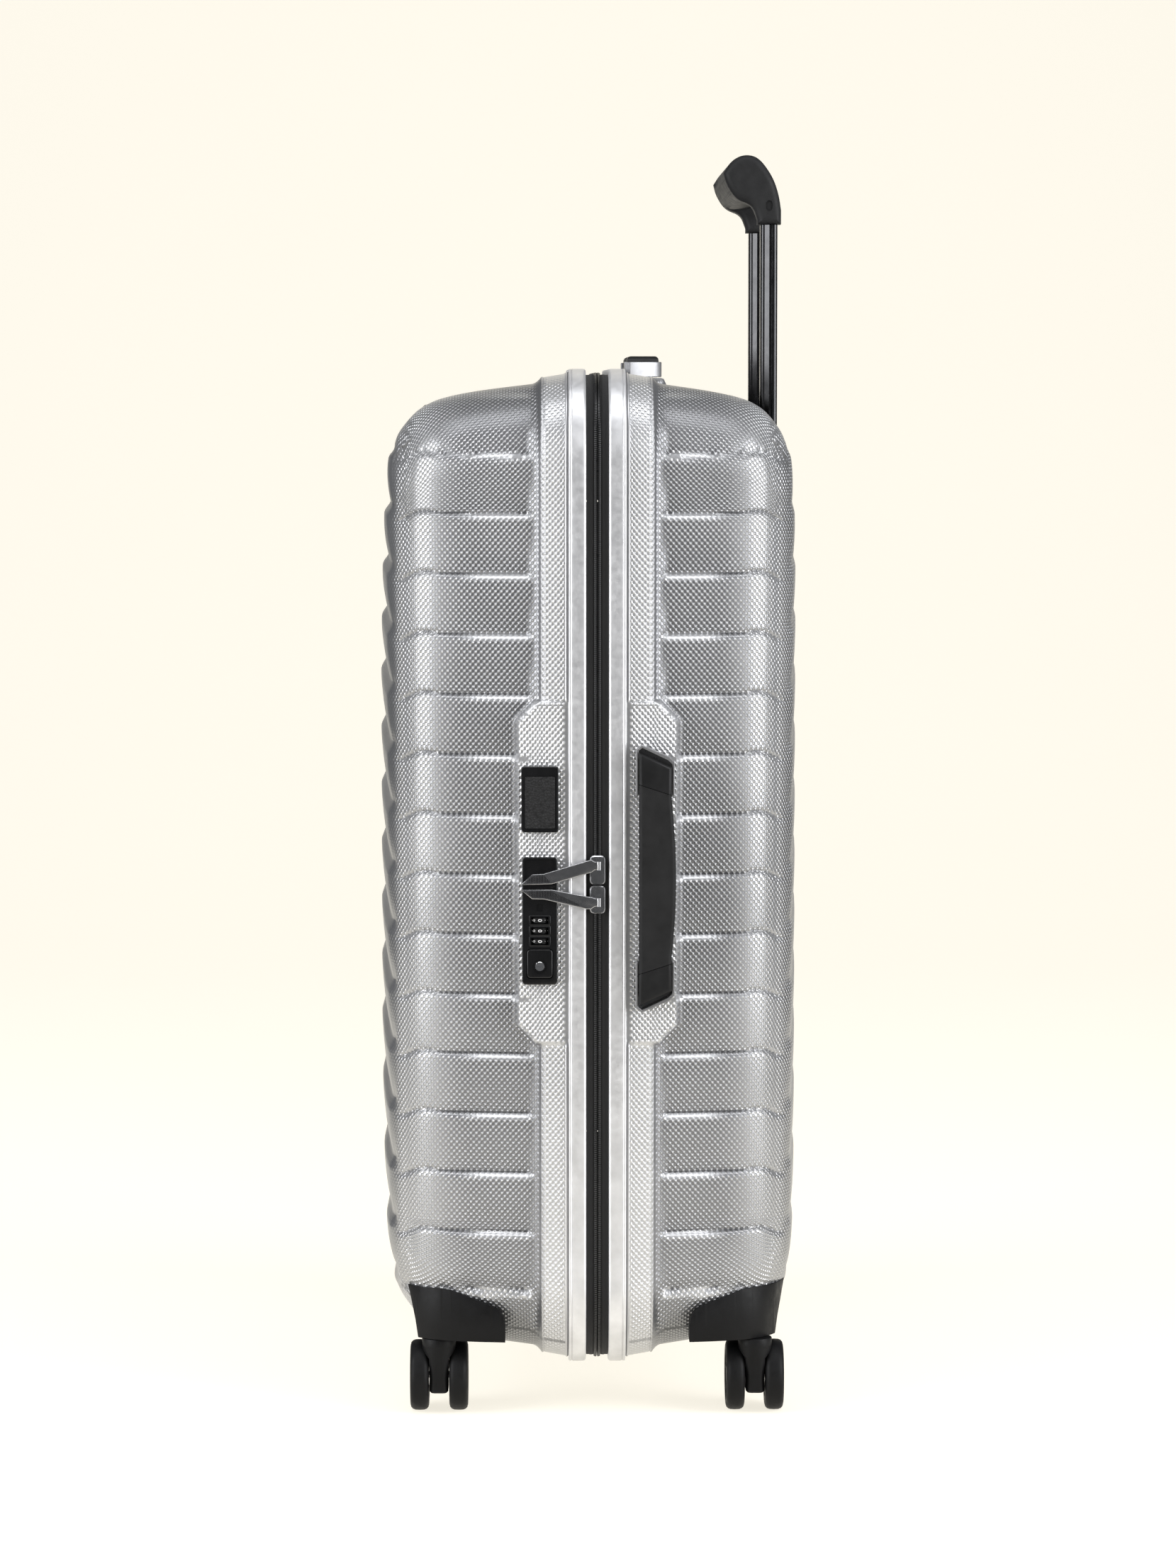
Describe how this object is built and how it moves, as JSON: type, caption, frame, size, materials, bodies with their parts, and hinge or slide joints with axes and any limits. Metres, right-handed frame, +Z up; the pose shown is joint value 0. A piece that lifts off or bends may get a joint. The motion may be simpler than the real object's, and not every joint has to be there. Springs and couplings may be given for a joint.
{
  "type": "hard shell suitcase on wheels",
  "caption": "Large silver hard-shell suitcase on twin-wheel casters, with zip, dial lock, carry handles and a raised trolley handle.",
  "frame": {"origin": "on the floor, under the middle of the object's box", "axes": "+Z up; +X towards the back shell, which holds the trolley handle; -Y is the narrow side with the lock and the side handle"},
  "size_m": [0.31, 0.5074, 0.9073],
  "materials": {
    "shell_silver": "satin metallic, embossed",
    "rim_silver": "satin",
    "zip_black": "woven",
    "black_plastic": "fine texture",
    "gloss_black": "gloss",
    "grip_black": "soft touch",
    "dark_chrome": "dark polished",
    "chrome": "polished",
    "wheel_tread": "satin",
    "steel": "brushed",
    "lining_grey": "woven",
    "mesh_black": "mesh",
    "strap_black": "webbing"
  },
  "bodies": {
    "back_case": {"back_shell": "shell_silver", "back_rim": "rim_silver", "back_zip_tape": "zip_black", "hinge_web": "zip_black", "back_lining": "lining_grey", "strap_near": "strap_black", "strap_far": "strap_black", "strap_buckle": "black_plastic", "side_handle_bracket_upper": "dark_chrome", "side_handle_bracket_lower": "dark_chrome", "top_handle_bracket_near": "dark_chrome", "top_handle_bracket_far": "dark_chrome", "trolley_cup": "black_plastic", "trolley_outer_tube_near": "steel", "trolley_outer_tube_far": "steel", "trolley_foot": "black_plastic", "corner_cap_back_near": "black_plastic", "corner_cap_back_far": "black_plastic"},
    "front_case": {"front_shell": "shell_silver", "front_rim": "rim_silver", "front_zip_tape": "zip_black", "front_lining": "lining_grey", "front_pocket": "mesh_black", "lock_body": "gloss_black", "badge_plate": "gloss_black", "badge_inlay": "grip_black", "front_trim_plate": "gloss_black", "corner_cap_front_near": "black_plastic", "corner_cap_front_far": "black_plastic"},
    "side_handle": {"side_handle_grip": "grip_black"},
    "top_handle": {"top_handle_grip": "grip_black"},
    "trolley": {"trolley_inner_tube_near": "gloss_black", "trolley_inner_tube_far": "gloss_black", "trolley_grip": "gloss_black"},
    "trolley_push_button": {"trolley_button": "black_plastic"},
    "lock_push_button": {"lock_button": "black_plastic"},
    "lock_cylinder": {"key_cylinder": "chrome"},
    "dial_1": {"lock_dial_1": "black_plastic"},
    "dial_2": {"lock_dial_2": "black_plastic"},
    "dial_3": {"lock_dial_3": "black_plastic"},
    "slider_upper": {"zip_slider_upper": "dark_chrome"},
    "puller_upper": {"zip_puller_upper": "dark_chrome"},
    "slider_lower": {"zip_slider_lower": "dark_chrome"},
    "puller_lower": {"zip_puller_lower": "dark_chrome"},
    "swivel_front_near": {"caster_fork_front_near": "black_plastic", "caster_axle_front_near": "steel"},
    "roller_front_near_left": {"wheel_front_near_left": "wheel_tread"},
    "roller_front_near_right": {"wheel_front_near_right": "wheel_tread"},
    "swivel_front_far": {"caster_fork_front_far": "black_plastic", "caster_axle_front_far": "steel"},
    "roller_front_far_left": {"wheel_front_far_left": "wheel_tread"},
    "roller_front_far_right": {"wheel_front_far_right": "wheel_tread"},
    "swivel_back_near": {"caster_fork_back_near": "black_plastic", "caster_axle_back_near": "steel"},
    "roller_back_near_left": {"wheel_back_near_left": "wheel_tread"},
    "roller_back_near_right": {"wheel_back_near_right": "wheel_tread"},
    "swivel_back_far": {"caster_fork_back_far": "black_plastic", "caster_axle_back_far": "steel"},
    "roller_back_far_left": {"wheel_back_far_left": "wheel_tread"},
    "roller_back_far_right": {"wheel_back_far_right": "wheel_tread"}
  },
  "joints": [
    {"name": "case_opening", "type": "hinge", "parent": "back_case", "child": "front_case", "pos_m": [0.005, 0.25455, 0.39275], "axis": [0, 0, -1], "range_deg": [0, 180]},
    {"name": "side_handle_lift", "type": "slide", "parent": "back_case", "child": "side_handle", "axis": [0, -1, 0], "range_m": [0, 0.012], "stiffness_N_per_m": 150, "springref_m": -0.002},
    {"name": "top_handle_lift", "type": "slide", "parent": "back_case", "child": "top_handle", "axis": [0, 0, 1], "range_m": [0, 0.012], "stiffness_N_per_m": 150, "springref_m": -0.002},
    {"name": "trolley_slide", "type": "slide", "parent": "back_case", "child": "trolley", "axis": [0, 0, 1], "range_m": [-0.165, 0.2]},
    {"name": "trolley_button_press", "type": "slide", "parent": "trolley", "child": "trolley_push_button", "axis": [0, 0, -1], "range_m": [0, 0.0035], "stiffness_N_per_m": 400, "springref_m": -0.001},
    {"name": "lock_button_press", "type": "slide", "parent": "front_case", "child": "lock_push_button", "axis": [0, 1, 0], "range_m": [0, 0.002], "stiffness_N_per_m": 400, "springref_m": -0.001},
    {"name": "key_turn", "type": "hinge", "parent": "lock_push_button", "child": "lock_cylinder", "pos_m": [-0.036, -0.23825, 0.3285], "axis": [0, 1, 0], "range_deg": [0, 90]},
    {"name": "dial_1_turn", "type": "hinge", "parent": "front_case", "child": "dial_1", "pos_m": [-0.036, -0.23405, 0.3615], "axis": [0, 0, 1], "continuous": true},
    {"name": "dial_2_turn", "type": "hinge", "parent": "front_case", "child": "dial_2", "pos_m": [-0.036, -0.23405, 0.354], "axis": [0, 0, 1], "continuous": true},
    {"name": "dial_3_turn", "type": "hinge", "parent": "front_case", "child": "dial_3", "pos_m": [-0.036, -0.23405, 0.3465], "axis": [0, 0, 1], "continuous": true},
    {"name": "zip_upper_slide", "type": "slide", "parent": "front_case", "child": "slider_upper", "axis": [0, 0, 1], "range_m": [0, 0.255]},
    {"name": "zip_upper_puller_swing", "type": "hinge", "parent": "slider_upper", "child": "puller_upper", "pos_m": [0.006, -0.24345, 0.4005], "axis": [0, 0, 1], "range_deg": [0, 110]},
    {"name": "zip_lower_slide", "type": "slide", "parent": "front_case", "child": "slider_lower", "axis": [0, 0, -1], "range_m": [0, 0.235]},
    {"name": "zip_lower_puller_swing", "type": "hinge", "parent": "slider_lower", "child": "puller_lower", "pos_m": [0.006, -0.24345, 0.3745], "axis": [0, 0, 1], "range_deg": [0, 110]},
    {"name": "swivel_front_near_turn", "type": "hinge", "parent": "front_case", "child": "swivel_front_near", "pos_m": [-0.109, -0.20375, 0.052], "axis": [0, 0, 1], "continuous": true},
    {"name": "wheel_front_near_left_roll", "type": "hinge", "parent": "swivel_front_near", "child": "roller_front_near_left", "pos_m": [-0.109, -0.19175, 0.0255], "axis": [1, 0, 0], "continuous": true},
    {"name": "wheel_front_near_right_roll", "type": "hinge", "parent": "swivel_front_near", "child": "roller_front_near_right", "pos_m": [-0.109, -0.19175, 0.0255], "axis": [1, 0, 0], "continuous": true},
    {"name": "swivel_front_far_turn", "type": "hinge", "parent": "front_case", "child": "swivel_front_far", "pos_m": [-0.109, 0.21625, 0.052], "axis": [0, 0, 1], "continuous": true},
    {"name": "wheel_front_far_left_roll", "type": "hinge", "parent": "swivel_front_far", "child": "roller_front_far_left", "pos_m": [-0.109, 0.22825, 0.0255], "axis": [1, 0, 0], "continuous": true},
    {"name": "wheel_front_far_right_roll", "type": "hinge", "parent": "swivel_front_far", "child": "roller_front_far_right", "pos_m": [-0.109, 0.22825, 0.0255], "axis": [1, 0, 0], "continuous": true},
    {"name": "swivel_back_near_turn", "type": "hinge", "parent": "back_case", "child": "swivel_back_near", "pos_m": [0.119, -0.20375, 0.052], "axis": [0, 0, 1], "continuous": true},
    {"name": "wheel_back_near_left_roll", "type": "hinge", "parent": "swivel_back_near", "child": "roller_back_near_left", "pos_m": [0.119, -0.19175, 0.0255], "axis": [1, 0, 0], "continuous": true},
    {"name": "wheel_back_near_right_roll", "type": "hinge", "parent": "swivel_back_near", "child": "roller_back_near_right", "pos_m": [0.119, -0.19175, 0.0255], "axis": [1, 0, 0], "continuous": true},
    {"name": "swivel_back_far_turn", "type": "hinge", "parent": "back_case", "child": "swivel_back_far", "pos_m": [0.119, 0.21625, 0.052], "axis": [0, 0, 1], "continuous": true},
    {"name": "wheel_back_far_left_roll", "type": "hinge", "parent": "swivel_back_far", "child": "roller_back_far_left", "pos_m": [0.119, 0.22825, 0.0255], "axis": [1, 0, 0], "continuous": true},
    {"name": "wheel_back_far_right_roll", "type": "hinge", "parent": "swivel_back_far", "child": "roller_back_far_right", "pos_m": [0.119, 0.22825, 0.0255], "axis": [1, 0, 0], "continuous": true}
  ]
}
